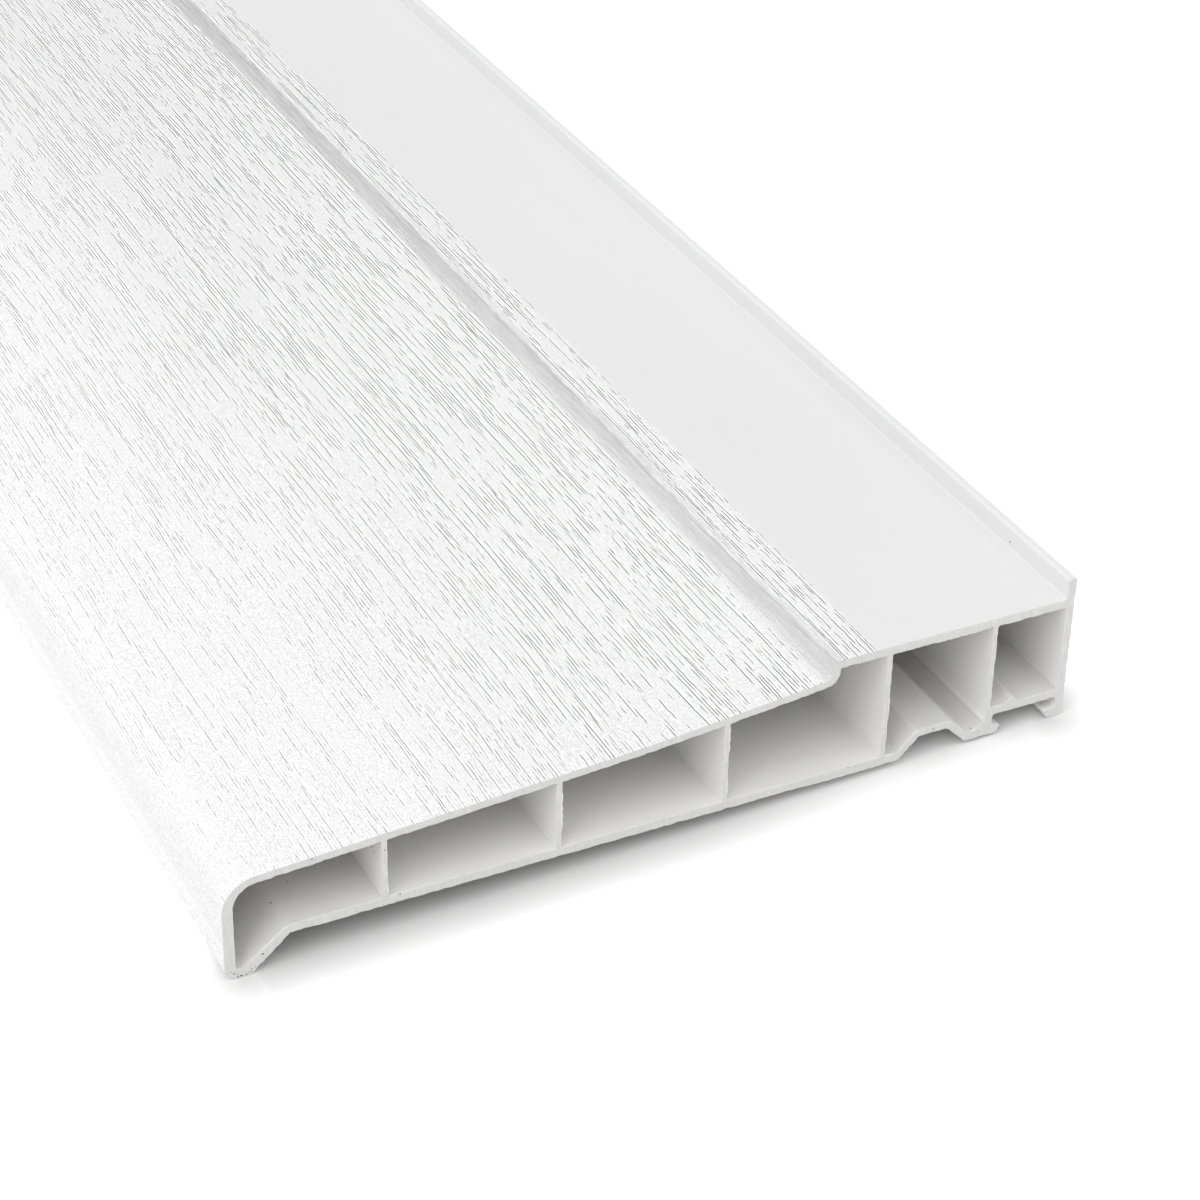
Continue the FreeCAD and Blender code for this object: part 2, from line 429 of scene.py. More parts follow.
def die_plastic(name, colour, smudged):
    """Plastic from the die: faint lines and clouds about a colour, and a share of smudges."""
    material, shader = new_finish(name, colour, 0.5)
    tree = material.node_tree
    die_lines = noise_on(tree, (0.004, 1.0, 1.0), 900.0, 3.0)
    clouds = noise_on(tree, (0.25, 1.0, 1.0), 22.0, 2.0)
    smears = noise_on(tree, (0.5, 1.0, 1.0), 70.0, 4.0)
    darker, lighter = [(*(part + step for part in colour), 1) for step in (-0.01, 0.01)]
    clean = blend_colours(tree, between(tree, clouds, 0.3, 0.7, 0.0, 1.0), darker, lighter)
    share = between(tree, smears, 0.66, 0.78, 0.0, smudged)
    tree.links.new(blend_colours(tree, share, clean, (0.63, 0.63, 0.60, 1)), shader.inputs["Base Color"])
    tree.links.new(between(tree, die_lines, 0.2, 0.8, 0.44, 0.56), shader.inputs["Roughness"])
    add_bump(tree, shader, die_lines, 0.00004)
    return material


plain = die_plastic("white plastic, extruded", (0.80, 0.795, 0.780), 0.35)
seat = die_plastic("white plastic, clean seat", SEAT_WHITE, 0.05)
# Painted light: chamber walls that face the nose are a lighter white, as if more light fell on them.
lit_chamber_wall = die_plastic("white plastic, chamber wall, painted light", (0.865, 0.86, 0.845), 0.2)
# Painted shade: the floors of some chambers are a darker white, where less light reaches them.
shaded_chamber_floor = die_plastic("white plastic, chamber floor, painted shade", (0.69, 0.685, 0.665), 0.3)

# %% Plastic as the saw left it
sawn, shader = new_finish("white plastic, sawn", (0.66, 0.66, 0.645), 0.6)
tree = sawn.node_tree
teeth = noise_on(tree, (1.0, 0.8, 0.16), 2100.0, 3.0)
smear = noise_on(tree, (1.0, 1.0, 1.0), 420.0, 4.0)
scratched = between(tree, teeth, 0.3, 0.7, 0.0, 1.0)
mixed = blend_colours(tree, scratched, (0.61, 0.61, 0.595, 1), (0.675, 0.675, 0.66, 1))
smeared = blend_colours(tree, between(tree, smear, 0.5, 0.75, 0.0, 0.7), mixed, (0.71, 0.71, 0.70, 1))
tree.links.new(smeared, shader.inputs["Base Color"])
add_bump(tree, shader, teeth, 0.00005)

# %% Burrs and chips that the saw stretched white, a painted highlight on some turned edges, and the dark swarf that stuck
edge_white, shader = new_finish("white plastic, torn edge and painted highlight", (0.93, 0.93, 0.92), 0.55)
tree = edge_white.node_tree
torn = noise_on(tree, (1.0, 1.0, 1.0), 1600.0, 3.0)
mixed = blend_colours(tree, between(tree, torn, 0.35, 0.65, 0.0, 1.0), (0.84, 0.84, 0.83, 1), (0.95, 0.95, 0.945, 1))
tree.links.new(mixed, shader.inputs["Base Color"])
add_bump(tree, shader, torn, 0.00005)

swarf, shader = new_finish("grey swarf", (0.14, 0.135, 0.12), 0.7)
tree = swarf.node_tree
grit = noise_on(tree, (1.0, 1.0, 1.0), 5200.0, 2.0)
mixed = blend_colours(tree, between(tree, grit, 0.35, 0.65, 0.0, 1.0), (0.07, 0.065, 0.055, 1), (0.26, 0.25, 0.23, 1))
tree.links.new(mixed, shader.inputs["Base Color"])
add_bump(tree, shader, grit, 0.00006)

# %% The embossed film
film, shader = new_finish("white woodgrain film", (0.86, 0.86, 0.86), 0.62)
shader.inputs["Specular IOR Level"].default_value = 0.35
tree = film.node_tree
pore = add_node(tree, "ShaderNodeAttribute", attribute_name="pore").outputs["Fac"]
shade = add_node(tree, "ShaderNodeAttribute", attribute_name="shade").outputs["Fac"]
rim = add_node(tree, "ShaderNodeAttribute", attribute_name="rim").outputs["Fac"]
stipple = noise_on(tree, (0.7, 1.0, 1.0), 2300.0, 2.0)
streaks = noise_on(tree, (0.03, 1.0, 1.0), 2600.0, 2.0)
ragged = noise_on(tree, (0.6, 1.0, 1.0), 500.0, 3.0)
speckled = between(tree, stipple, 0.38, 0.62, 0.0, 1.0)
ground = blend_colours(tree, speckled, (0.765, 0.765, 0.765, 1), (0.965, 0.965, 0.965, 1))
# The streaked grey is both the riser's own streaked film and the colour of painted shade on the film.
streaked_and_shaded = blend_colours(tree, between(tree, streaks, 0.3, 0.7, 0.0, 1.0), (0.40, 0.40, 0.40, 1), (0.63, 0.63, 0.63, 1))
toned = blend_colours(tree, shade, ground, streaked_and_shaded)
nibbles = between(tree, noise_on(tree, (0.35, 1.0, 1.0), 1900.0, 2.0), 0.3, 0.7, -0.3, 0.3)
# Painted shade: the bottoms of the pores are darkened nearly to black, with ragged ends from noise.
bitten = add_node(tree, "ShaderNodeMath", {0: pore, 1: nibbles}, operation="SUBTRACT").outputs[0]
pore_shade = add_node(tree, "ShaderNodeMath", {0: bitten, 1: pore}, operation="MINIMUM").outputs[0]
pore_shaded = blend_colours(tree, between(tree, pore_shade, 0.05, 0.5, 0.0, 1.0), toned, (0.03, 0.03, 0.03, 1))
# Painted highlight: where the pore value is below zero, at a pore's shoulders, the film is lightened towards white.
shoulder_highlit = blend_colours(tree, between(tree, pore, 0.0, -0.5, 0.0, 0.7), pore_shaded, (1.0, 1.0, 1.0, 1))
edge_at = between(tree, ragged, 0.3, 0.7, 0.05, 0.95)
past_edge = add_node(tree, "ShaderNodeMath", {0: edge_at, 1: rim}, operation="GREATER_THAN").outputs[0]
grained = blend_colours(tree, past_edge, shoulder_highlit, (*SEAT_WHITE, 1))
tree.links.new(grained, shader.inputs["Base Color"])
add_bump(tree, shader, stipple, 0.00005)
print("finishes:", [material.name for material in bpy.data.materials])

# %% [markdown]
# ## The body
#
# The section's seven outlines are carried along the length. Under the film the outer outline
# lies a fifth of a millimetre deeper, which leaves a bed for the film pieces. At each end the
# outlines turn in a little, as a sawn edge does. The saw didn't leave that turn even, so its
# width comes from seeded noise, with deeper nicks where the photo shows them, and the long
# straight runs get points close enough together to carry it.

# %% Fill the long gaps of an outline
BED = 0.2
TURN_IN = 0.18
CUT_BACK = 0.05
GAP = 0.45


def refined(run, normal):
    """A closed outline with even points added so that no gap is longer than GAP."""
    after = np.roll(run, -1, 0)
    parts = np.maximum(1, np.ceil(np.hypot(*(after - run).T) / GAP)).astype(int)
    source = np.repeat(np.arange(len(run)), parts)
    share = ((np.arange(len(source)) - (np.cumsum(parts) - parts)[source]) / parts[source])[:, None]
    place = run[source] + share * (after - run)[source]
    turn = normal[source] + share * (np.roll(normal, -1, 0) - normal)[source]
    return place, turn / np.hypot(*turn.T)[:, None], source


weather_bed = weather_run - BED * outward(weather_heading)
outer_run = np.concatenate([weather_bed, plain_run])
outer_normal = outward(np.concatenate([weather_heading, plain_heading]))
run, normal, source = refined(outer_run, outer_normal)
loops = [(run, normal, source < len(weather_run) - 1)]
for chamber_run, heading in chamber_runs:
    run, normal, source = refined(chamber_run, outward(heading))
    loops.append((run, normal, np.zeros(len(run), bool)))
print("points round each outline:", [len(run) for run, normal, under in loops])

# %% How far the saw turned each edge in
NICKS = [
    (40.6, 16.8, 0.45, 0.35),
    (41.0, 7.1, 0.25, 0.5),
    (41.2, 3.6, 0.30, 0.4),
    (84.6, 17.9, 0.35, 0.3),
    (84.6, 9.8, 0.30, 0.4),
    (128.8, 19.5, 0.30, 0.5),
    (173.0, 17.4, 0.35, 0.7),
    (186.3, 32.6, 0.40, 0.4),
    (189.7, 32.6, 0.35, 0.3),
    (196.2, 32.6, 0.30, 0.3),
    (207.4, 32.6, 0.45, 0.4),
    (214.5, 35.0, 0.40, 0.5),
    (219.3, 35.0, 0.35, 0.6),
    (2.1, -7.4, 0.35, 0.4),
    (3.9, -8.8, 0.40, 0.4),
    (6.3, -8.6, 0.30, 0.5),
]


def turned_in(run, under_film):
    """Width of the turned edge at each point of an outline, in millimetres.

    It is TURN_IN times 1 plus noise smoothed over three points, plus a bell-shaped peak for
    each nick, and nothing where the film covers the edge.
    """
    noise = rng.normal(0, 1, len(run))
    noise = (np.roll(noise, 1) + noise + np.roll(noise, -1)) / 3
    width = TURN_IN * np.clip(1 + 0.9 * noise, 0.35, 2.2)
    for y, z, depth, half_width in NICKS:
        apart = np.hypot(run[:, 0] - y, run[:, 1] - z)
        width = np.maximum(width, depth * np.exp(-((apart / half_width) ** 2)))
    return np.where(under_film, 0.0, width)


# %% Carry the outlines along the length
half = LENGTH / 2
cut_x = half - CUT_BACK


def direction(normals):
    """Unit vectors of the level section as unit vectors in the frame."""
    flat = turned(normals)
    return np.concatenate([np.zeros((*flat.shape[:-1], 1)), flat], -1)


SHADED_FLOOR_CHAMBERS = (1, 5, 6)
points, faces, normals, band_finish = [], [], [], []
rings = {0: [], 3: []}
first = 0
for number, (run, normal, under_film) in enumerate(loops):
    far_turn, near_turn = turned_in(run, under_film), turned_in(run, under_film)
    flat = np.zeros(len(run))
    stations = np.stack([flat - cut_x, far_turn - cut_x, cut_x - near_turn, flat + cut_x])
    inset = np.stack([far_turn, flat, flat, near_turn])
    rows = run[None] - inset[..., None] * normal[None]
    points.append(laid(rows, stations).reshape(-1, 3))
    quads = strip_faces(4, len(run), first, closed=True)
    faces.append(quads)
    side = direction(normal)[(quads - first) % len(run)]
    band = (quads - first).min(1) // len(run)
    lean = (band == 2) * 1.6 - (band == 0) * 1.6
    side = side + lean[:, None, None] * np.array([1.0, 0, 0])
    normals.append(side.reshape(-1, 3))
    facing = normal[(quads[:, 0] - first) % len(run)]
    # Painted highlight: the turned edges that face back and down take the whiter torn-edge finish instead of the sawn
    # one.
    highlit_edge = facing @ np.array([0.6, -0.8]) > 0.15
    # Painted light: inside the chambers, faces that look towards the nose take the lighter wall finish (5).
    inside = np.where((facing[:, 0] < -0.7) & (number > 0), 5, 0)
    lies_up = (facing[:, 1] > 0.5) & (facing[:, 0] < 0.3)
    # Painted shade: upward faces in these chambers take the darker floor finish.
    inside[lies_up & (number in SHADED_FLOOR_CHAMBERS)] = 6
    band_finish.append(np.where(band == 1, inside, np.where(highlit_edge, 3, 1)))
    for station, ring in rings.items():
        ring.append(first + station * len(run) + np.arange(len(run)))
    first += 4 * len(run)
points = np.concatenate(points)

# %% Close the ends with the flat section and its six holes
for station, ring in rings.items():
    outlines = [[(*points[number][1:], 0.0) for number in numbers] for numbers in ring]
    triangles = np.concatenate(ring)[np.array(tessellate_polygon(outlines))]
    y, z = points[triangles][..., 1], points[triangles][..., 2]
    area = (y[:, 1] - y[:, 0]) * (z[:, 2] - z[:, 0]) - (y[:, 2] - y[:, 0]) * (z[:, 1] - z[:, 0])
    facing = 1.0 if station else -1.0
    wrong = area * facing < 0
    triangles[wrong] = triangles[wrong][:, ::-1]
    triangles = triangles[np.abs(area) > 1e-14]
    faces.append(triangles)
    normals.append(np.tile([facing, 0, 0], (triangles.size, 1)))
    print("end at station", station, "area, mm2:", round(float(np.abs(area).sum() / 2 / MM**2), 2))

quad_faces = np.concatenate(faces[: len(loops)])
end_faces = np.concatenate(faces[len(loops):])
middle = points[quad_faces].mean(1) / MM
level_back = middle[:, 1:] - HOME
front_skin = (level_back[:, 0] < 3.4) & (np.arange(len(quad_faces)) < len(faces[0]))
side_finish = np.concatenate(band_finish)
side_finish[front_skin & (side_finish == 0)] = 2
turn_back = [[math.cos(TILT), math.sin(TILT)], [-math.sin(TILT), math.cos(TILT)]]
level_middle = level_back @ np.array(turn_back)
on_seat = (level_middle[:, 1] > SHELF_HEIGHT - 0.1) & (level_middle[:, 0] < DEPTH - 0.1)
on_seat &= np.arange(len(quad_faces)) < len(faces[0])
side_finish[on_seat & (side_finish == 0)] = 4
print("faces of the seat:", int((side_finish == 4).sum()))
finish_number = np.concatenate([side_finish, np.ones(len(end_faces), int)])
body_finishes = [plain, sawn, film, edge_white, seat, lit_chamber_wall, shaded_chamber_floor]
body = make_piece("board_body", points, [quad_faces, end_faces], body_finishes, finish_number)
loop_normals = np.concatenate(normals)
loop_normals /= np.linalg.norm(loop_normals, axis=1)[:, None]
body.data.polygons.foreach_set("use_smooth", np.ones(len(body.data.polygons), bool))
body.data.normals_split_custom_set(loop_normals.astype(np.float32))
rim_distance = body.data.attributes.new("rim", "FLOAT", "POINT")
rim_distance.data.foreach_set("value", np.full(len(points), DEPTH, np.float32))
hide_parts("sill_board")

# %% [markdown]
# ## Burrs and swarf
#
# The saw pushed ragged little burrs over some edges of the webs and walls, and a few dark
# specks of swarf stuck to the plastic, most of them round the tip of the drip. A burr is a
# thin fin along an edge: two points of each row are sunk in the plastic and the third reaches
# out by a ragged amount. A speck is a flat lens with an uneven rim.

# %% Turn closed shells the right way out
def facing_out(points, triangles):
    """The triangles of a closed shell, turned round if their signed volume is negative."""
    a, b, c = (points[triangles[:, corner]] for corner in range(3))
    volume = (a * np.cross(b, c)).sum()
    return triangles if volume > 0 else triangles[:, ::-1]


# %% Burrs along the sawn edges
BURRS = [
    ((84.6, 7.4), (84.6, 18.6), (1, 0), 0.6),
    ((40.4, 2.7), (40.4, 6.4), (1, 0), 0.35),
    ((128.8, 4.0), (128.8, 9.0), (1, 0), 0.35),
    ((128.8, 16.5), (128.8, 24.0), (1, 0), 0.35),
    ((173.0, 13.5), (173.0, 20.0), (1, 0), 0.3),
    ((184.6, 32.6), (198.5, 32.6), (0, -1), 0.35),
    ((205.0, 32.6), (210.0, 32.6), (0, -1), 0.3),
    ((150.0, 0.0), (173.0, 0.0), (0, -1), 0.4),
    ((22.0, 0.0), (31.0, 0.0), (0, -1), 0.25),
]
BURR_STEP = 0.22


def burr(start, stop, lean, reach, end):
    """A closed fin along the edge from start to stop at one end of the board.

    Each row has a point near the cut, one deeper along the board, and a tip that stands out
    along lean by reach times a ragged share that falls to nothing at both ends of the fin.
    """
    start, stop, lean = np.array(start, float), np.array(stop, float), np.array(lean, float)
    rows = int(np.hypot(*(stop - start)) / BURR_STEP)
    t = np.linspace(0, 1, rows)
    ragged = rng.uniform(0, 1, rows) ** 1.6 * np.clip(np.sin(math.pi * t) * 2.5, 0, 1) + 0.02
    edge = start + t[:, None] * (stop - start)
    sunk = edge - 0.1 * lean
    tip = edge + (reach * ragged)[:, None] * lean
    section = np.stack([sunk, sunk, tip], 1)
    depth = np.stack([np.full(rows, 0.03), np.full(rows, 0.4), 0.08 + 0.12 * ragged], 1)
    points = laid(section, end * (cut_x - depth)).reshape(-1, 3)
    quads = strip_faces(rows, 3, closed=True)
    caps = [[0, 1, 2], [3 * rows - 1, 3 * rows - 2, 3 * rows - 3]]
    triangles = np.concatenate([quads[:, :3], quads[:, [0, 2, 3]], caps])
    return points, facing_out(points, triangles)


burr_points, burr_faces, first = [], [], 0
for end in (1, -1):
    for start, stop, lean, reach in BURRS:
        points, triangles = burr(start, stop, lean, reach, end)
        burr_points.append(points)
        burr_faces.append(triangles + first)
        first += len(points)
burrs = make_piece("saw_burrs", np.concatenate(burr_points), burr_faces, [edge_white])

# %% Specks of swarf
CUT_SPECKS = [
    (9.3, -3.8, 0.32),
    (43.3, 2.2, 0.27),
    (22.0, 19.3, 0.25),
    (1.5, -6.4, 0.16),
    (2.2, -7.2, 0.24),
    (2.9, -7.5, 0.17),
    (3.1, -8.3, 0.23),
    (3.9, -8.2, 0.26),
    (4.3, -8.5, 0.15),
    (4.8, -7.8, 0.14),
    (5.2, -8.4, 0.23),
    (5.7, -7.9, 0.18),
    (6.3, -7.9, 0.25),
    (6.5, -7.1, 0.20),
    (7.3, -6.9, 0.15),
    (186.5, 6.7, 0.24),
    (162.5, 2.2, 0.18),
    (197.6, 3.6, 0.24),
    (200.2, 1.8, 0.18),
    (39.7, 16.2, 0.20),
]
CHAMBER_SPECKS = [
    (15.0, 2.5, 615.8, 0.28, "floor"),
    (21.2, 2.5, 610.2, 0.22, "floor"),
    (39.0, 12.6, 620.6, 0.26, "wall"),
    (39.0, 11.6, 621.8, 0.18, "wall"),
    (39.0, 13.1, 618.9, 0.20, "wall"),
    (39.0, 14.8, 622.6, 0.16, "wall"),
    (222.6, 36.8, 598.4, 0.32, "wall"),
]
CHIPS = [
    (190.4, 33.6, 1.5, 48.0),
    (191.2, 34.2, 0.7, 48.0),
    (40.0, 9.0, 0.9, 95.0),
    (172.1, 9.8, 0.8, 80.0),
    (140.2, 1.3, 0.8, 15.0),
    (121.0, 0.6, 0.6, 5.0),
    (206.3, 33.8, 0.6, 60.0),
]
CHIP_WIDTH = 0.13
SPECK_RIM = 7
SPECK_RISE = 0.045


def speck(centre, along, across, up, radius):
    """A closed lens: an uneven rim round the centre, a low top and an equal bottom, in metres."""
    angle = np.linspace(0, math.tau, SPECK_RIM, endpoint=False)
    reach = radius * rng.uniform(0.65, 1.25, SPECK_RIM)
    rim = (reach * np.cos(angle))[:, None] * along + (reach * np.sin(angle))[:, None] * across
    points = centre + np.concatenate([rim, [SPECK_RISE * up, -SPECK_RISE * up]]) * MM
    here = np.arange(SPECK_RIM)
    after = (here + 1) % SPECK_RIM
    top = np.stack([here, after, np.full(SPECK_RIM, SPECK_RIM)], 1)
    bottom = np.stack([after, here, np.full(SPECK_RIM, SPECK_RIM + 1)], 1)
    triangles = np.concatenate([top, bottom])
    return points, facing_out(points - centre, triangles)


x_axis, y_axis, z_axis = np.eye(3)
faced = {"cut": (y_axis, z_axis, x_axis), "floor": (x_axis, y_axis, z_axis), "wall": (x_axis, z_axis, y_axis)}
placed = [(y, z, end * cut_x, radius, "cut") for end in (1, -1) for y, z, radius in CUT_SPECKS]
placed += CHAMBER_SPECKS
shells = []
for y, z, x, radius, where in placed:
    shells.append(speck(laid(np.array([[y, z]], float), x)[0], *faced[where], radius))


def join_shells(name, shells, material):
    """One piece from several closed shells, each a pair of points and triangles."""
    firsts = np.cumsum([0] + [len(points) for points, triangles in shells])
    faces = [triangles + first for (points, triangles), first in zip(shells, firsts)]
    return make_piece(name, np.concatenate([points for points, triangles in shells]), faces, [material])


specks = join_shells("swarf_specks", shells, swarf)

# %% White chips and scratches on the cut
shells = []
for end in (1, -1):
    for y, z, reach, angle in CHIPS:
        angle = math.radians(angle)
        along = math.cos(angle) * y_axis + math.sin(angle) * z_axis
        across = math.cos(angle) * z_axis - math.sin(angle) * y_axis
        centre = laid(np.array([[y, z]], float), end * cut_x)[0]
        shells.append(speck(centre, along, across * CHIP_WIDTH / reach, x_axis, reach))
chips = join_shells("saw_chips", shells, edge_white)

# %% [markdown]
# ## The woodgrain
#
# The film is pressed with pores: short lines along the board, 3 to 40 mm long and under half
# a millimetre wide, about 2.6 mm apart where they are on. Each pore is a real V-shaped cut.
# The film is divided across its width into tracks about a millimetre apart, and a track is
# either flat or cut at each place along it, so a grid with three columns of points a track
# holds them all. The tracks wander together, as the grain of wood does.

# %% Distance over the film
path_step = np.hypot(*np.diff(weather_run, axis=0).T)
path_s = np.concatenate([[0], np.cumsum(path_step)])
FILM_WIDTH = path_s[-1]
path_normal = outward(weather_heading)
riser_start = path_s[np.argmax(weather_run[:, 0] > STEP_Y - 2.0)]
on_riser = (weather_run[:, 0] > STEP_Y - 1.6) & (weather_run[:, 0] < STEP_Y + 2.0)
RISER_FROM, RISER_TO = path_s[on_riser][[0, -1]]
BAND_FROM = RISER_FROM
BAND_TO = RISER_FROM + 6.1
print("film width, mm:", FILM_WIDTH.round(2), "riser from", RISER_FROM.round(2), "to", RISER_TO.round(2))


def on_film(s, depth):
    """Level points at distances s over the film, each depth below its surface."""
    place = np.stack([np.interp(s, path_s, weather_run[:, axis]) for axis in (0, 1)], -1)
    normal = np.stack([np.interp(s, path_s, path_normal[:, axis]) for axis in (0, 1)], -1)
    normal /= np.linalg.norm(normal, axis=-1)[..., None]
    return place - depth[..., None] * normal


def smooth_step(value, low, high):
    """0 below low, 1 above high, and an even curve between."""
    t = np.clip((value - low) / (high - low), 0, 1)
    return t * t * (3 - 2 * t)


# %% Where the tracks lie
TRACK_PITCH = 0.82
RISER_PITCH = 0.5
PORE_WIDTH = 0.33
RISER_PORES = 0.25


def spread(low, high, pitch):
    """Uneven places between low and high, about a pitch apart."""
    count = round((high - low) / pitch)
    steps = rng.uniform(0.78, 1.22, count + 1)
    return low + (high - low) * np.cumsum(steps)[:-1] / steps.sum()


track_s = np.concatenate([
    spread(0, RISER_FROM, TRACK_PITCH),
    spread(RISER_FROM, RISER_TO, RISER_PITCH),
    spread(RISER_TO, FILM_WIDTH, TRACK_PITCH),
])
riser_track = (track_s > RISER_FROM) & (track_s < RISER_TO)
track_width = np.where(riser_track, 0.2, PORE_WIDTH)
film_end = cut_x - 0.01
NEAR, MIDDLE, FAR = (1.0, 1.45, 4.2)
row_x = np.concatenate([
    np.arange(-film_end, 90, FAR),
    np.arange(90, 430, MIDDLE),
    np.arange(430, film_end, NEAR),
    [film_end],
])
print("tracks:", len(track_s), "rows:", len(row_x))

# %% How the tracks wander
waves = [(0.36, 230.0, 140.0), (0.15, 96.0, 75.0), (0.06, 41.0, 38.0)]
wave_phase = rng.uniform(0, math.tau, len(waves))


def wander(x, s):
    """Sideways shift at x of a track at s: slow waves, none at the film's edges and the riser."""
    shift = 0
    for (height, along, across), phase in zip(waves, wave_phase):
        shift = shift + height * np.sin(math.tau * (x / along + s / across) + phase)
    free = smooth_step(s, 2, 14) * smooth_step(FILM_WIDTH - s, 0, 5)
    return shift * free * smooth_step(np.maximum(RISER_FROM - s, s - RISER_TO), 0, 7)


def smooth_noise(count, x, length):
    """Rows of seeded noise along x, each smoothed over a length, with values about -1 to 1."""
    steps = np.arange(x[0] - 3 * length, x[-1] + 3 * length, length / 2)
    values = rng.normal(0, 1, (count, len(steps)))
    return np.stack([np.interp(x, steps, row) for row in values])


def cluster(x, s):
    """How thick the pores are at a place, 0 to 1: waves of two sizes multiplied."""
    first = np.sin(x / 17 + s / 9 + 1.3) * np.sin(x / 31 - s / 14)
    second = np.sin(x / 11 - s / 4.1 + 0.4) * np.sin(x / 23 + s / 6.3 + 2.1)
    return 0.5 + 0.5 * np.tanh(1.3 * (0.7 * first + 0.6 * second))


# %% Where each track is cut
def pore_row(x, s, riser):
    """Depth share, 0 to 1, along one track: strokes and gaps of uneven length with thin ends."""
    typical = 30.0 if riser else 5.6
    count = int(LENGTH / typical * 1.6)
    strokes = typical * np.exp(rng.normal(0, 1.05, count))
    gaps = strokes.mean() * rng.gamma(1.1, 0.36, count)
    starts = -half - 20 + np.cumsum(strokes + gaps) - strokes
    amount = rng.uniform(0.35, 1.0, count)
    share = 0.52 + 0.34 * cluster(starts + strokes / 2, s)
    share *= 1 - 0.12 * smooth_step(-starts, -450, 0)
    kept = rng.uniform(0, 1, count) < share
    amount = amount * kept
    number = np.clip(np.searchsorted(starts, x) - 1, 0, count - 1)
    inside = np.minimum(x - starts[number], starts[number] + strokes[number] - x)
    return amount[number] * np.clip(inside / 0.8, 0, 1)


def strength(x, s):
    """How deep and dark the pores are: more towards the back of the board and away from the cut."""
    across = 0.66 + 0.95 * smooth_step(s, 25, 165)
    along = 0.82 + 0.85 * smooth_step(-x, -580, -200)
    return across * along


pores = np.stack([pore_row(row_x, s, riser) for s, riser in zip(track_s, riser_track)], 1)
nose_fade = 0.7 + 0.3 * smooth_step(track_s, 8, 24)
beads = np.clip(1 + 0.35 * smooth_noise(len(track_s), row_x, 2.4).T, 0.25, 1.35)
pores *= nose_fade[None] * beads * strength(row_x[:, None], track_s[None])
pores[:, riser_track] *= RISER_PORES
print("share of the tracks that is cut:", round(float((pores > 0.15).mean()), 3))

# %% Build the film in strips
PORE_DEPTH = 0.12
FILM_UNDER = 0.3
MOST_CUT = 1.8
STRIPS = 6
own_shift = smooth_noise(len(track_s), row_x, 26.0).T * 0.08
own_shift += smooth_noise(len(track_s), row_x, 6.0).T * 0.035
own_shift += smooth_noise(len(track_s), row_x, 2.4).T * 0.04
cloud = smooth_noise(1, row_x, 60.0)[0]
edge_noise = smooth_noise(1, row_x, 5.0)[0]

